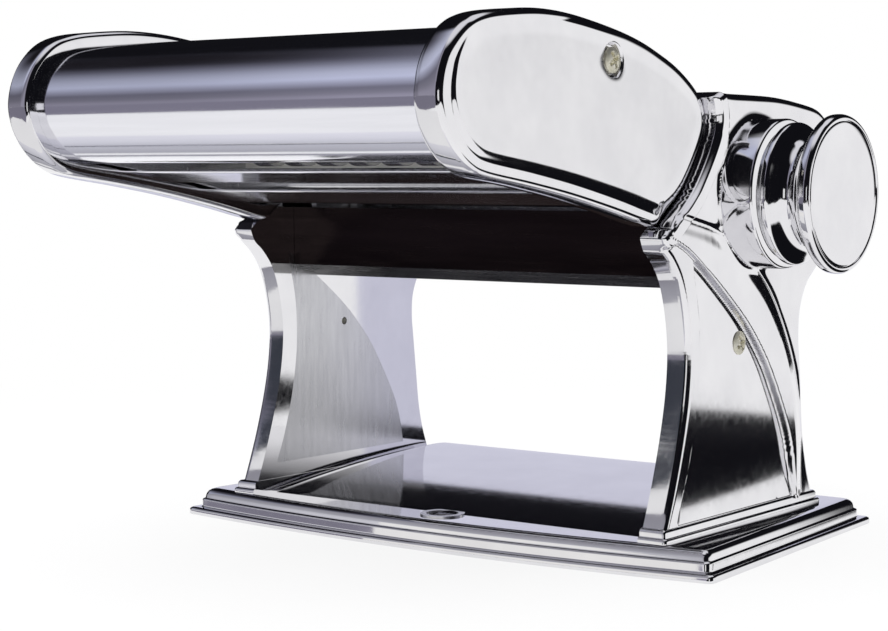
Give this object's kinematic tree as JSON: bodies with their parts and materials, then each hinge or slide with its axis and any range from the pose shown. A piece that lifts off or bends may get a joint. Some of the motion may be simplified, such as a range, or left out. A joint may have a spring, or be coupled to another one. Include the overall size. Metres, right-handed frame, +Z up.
{
  "type": "pasta machine",
  "caption": "Table-top pasta machine: smooth sheeting rollers between two chromed stands, thickness knob, and a lift-off cutter unit with narrow and wide grooved rollers.",
  "frame": {"origin": "on the table, midway between the stands and straight below the axis of the thickness knob", "axes": "+X along the rollers towards the knob, +Y to the rear, away from the cutter unit, +Z up"},
  "size_m": [0.2147, 0.2087, 0.1566],
  "materials": {
    "polished_chrome": "mirror polished plating over a casting",
    "satin_cover": "stainless sheet, brushed lengthwise to a soft mirror",
    "dark_apron": "plain dull steel sheet in shade",
    "bare_steel": "bright drawn steel",
    "ground_roller": "ground and polished round bar",
    "gear_steel": "plain cut steel, lightly oiled",
    "bearing_bronze": "turned bearing metal",
    "yellow_screw": "yellow passivated zinc plate",
    "white_plastic": "moulded food-safe plastic",
    "wiper_plastic": "moulded dark plastic",
    "foot_rubber": "moulded rubber"
  },
  "bodies": {
    "machine": {"base_plate": "polished_chrome", "rubber_feet": "foot_rubber", "base_screws": "bare_steel", "clamp_bush": "bare_steel", "right_stand": "polished_chrome", "left_stand": "polished_chrome", "right_stiffener": "bare_steel", "left_stiffener": "bare_steel", "panel_screws": "yellow_screw", "right_frame_plate": "bare_steel", "left_frame_plate": "bare_steel", "frame_tie_rods": "bare_steel", "cutter_rails": "bare_steel", "front_hood": "satin_cover", "front_apron": "dark_apron", "rear_cover": "satin_cover", "front_hopper_guide": "bare_steel", "rear_hopper_guide": "bare_steel", "roller_wipers": "wiper_plastic", "rear_bushes": "bearing_bronze", "knob_bearing": "bearing_bronze", "index_ring": "bare_steel"},
    "rear_roller": {"rear_roller": "ground_roller", "rear_roller_gear": "gear_steel"},
    "roller_carriage": {"roller_yokes": "bare_steel"},
    "front_roller": {"front_roller": "ground_roller", "front_roller_gear": "gear_steel"},
    "adjuster": {"adjuster_shaft": "bare_steel", "cams": "bare_steel"},
    "knob": {"knob_body": "polished_chrome", "knob_cap": "polished_chrome", "index_pins": "bare_steel"},
    "cutter": {"right_cap": "polished_chrome", "left_cap": "polished_chrome", "cap_screws": "yellow_screw", "front_cover": "satin_cover", "middle_cover": "satin_cover", "rear_lid": "satin_cover", "under_covers": "satin_cover", "right_cutter_plate": "bare_steel", "left_cutter_plate": "bare_steel", "cutter_tie_rods": "bare_steel", "cutter_bushes": "bearing_bronze", "narrow_combs": "white_plastic", "wide_combs": "white_plastic"},
    "narrow_upper": {"narrow_upper_roller": "ground_roller", "narrow_upper_gear": "gear_steel"},
    "narrow_lower": {"narrow_lower_roller": "ground_roller", "narrow_lower_gear": "gear_steel"},
    "wide_upper": {"wide_upper_roller": "ground_roller", "wide_upper_gear": "gear_steel"},
    "wide_lower": {"wide_lower_roller": "ground_roller", "wide_lower_gear": "gear_steel"}
  },
  "joints": [
    {"name": "rear_roller_spin", "type": "hinge", "parent": "machine", "child": "rear_roller", "pos_m": [0, 0.0256, 0.0915], "axis": [1, 0, 0], "continuous": true},
    {"name": "roller_gap", "type": "slide", "parent": "machine", "child": "roller_carriage", "axis": [0, 1, 0], "range_m": [0, 0.0024]},
    {"name": "front_roller_spin", "type": "hinge", "parent": "roller_carriage", "child": "front_roller", "pos_m": [0, 0, 0.0915], "axis": [1, 0, 0], "continuous": true},
    {"name": "knob_turn", "type": "hinge", "parent": "machine", "child": "adjuster", "pos_m": [0, 0, 0.1078], "axis": [1, 0, 0], "range_deg": [0, 300]},
    {"name": "knob_pull", "type": "slide", "parent": "adjuster", "child": "knob", "axis": [1, 0, 0], "range_m": [0, 0.005], "stiffness_N_per_m": 500, "springref_m": -0.004},
    {"name": "cutter_lift", "type": "slide", "parent": "machine", "child": "cutter", "axis": [0, -0.9397, 0.342], "range_m": [0, 0.04]},
    {"name": "narrow_upper_spin", "type": "hinge", "parent": "cutter", "child": "narrow_upper", "pos_m": [0, -0.12847, 0.1364], "axis": [1, 0, 0], "continuous": true},
    {"name": "narrow_lower_spin", "type": "hinge", "parent": "cutter", "child": "narrow_lower", "pos_m": [0, -0.11553, 0.13159], "axis": [1, 0, 0], "continuous": true},
    {"name": "wide_upper_spin", "type": "hinge", "parent": "cutter", "child": "wide_upper", "pos_m": [0, -0.08787, 0.13093], "axis": [1, 0, 0], "continuous": true},
    {"name": "wide_lower_spin", "type": "hinge", "parent": "cutter", "child": "wide_lower", "pos_m": [0, -0.07213, 0.12507], "axis": [1, 0, 0], "continuous": true}
  ],
  "couplings": [
    {"joint": "front_roller_spin", "follows": "rear_roller_spin", "ratio": -1},
    {"joint": "roller_gap", "follows": "knob_turn", "m_per_rad": 0.00045837},
    {"joint": "narrow_lower_spin", "follows": "narrow_upper_spin", "ratio": -1},
    {"joint": "wide_lower_spin", "follows": "wide_upper_spin", "ratio": -1}
  ]
}
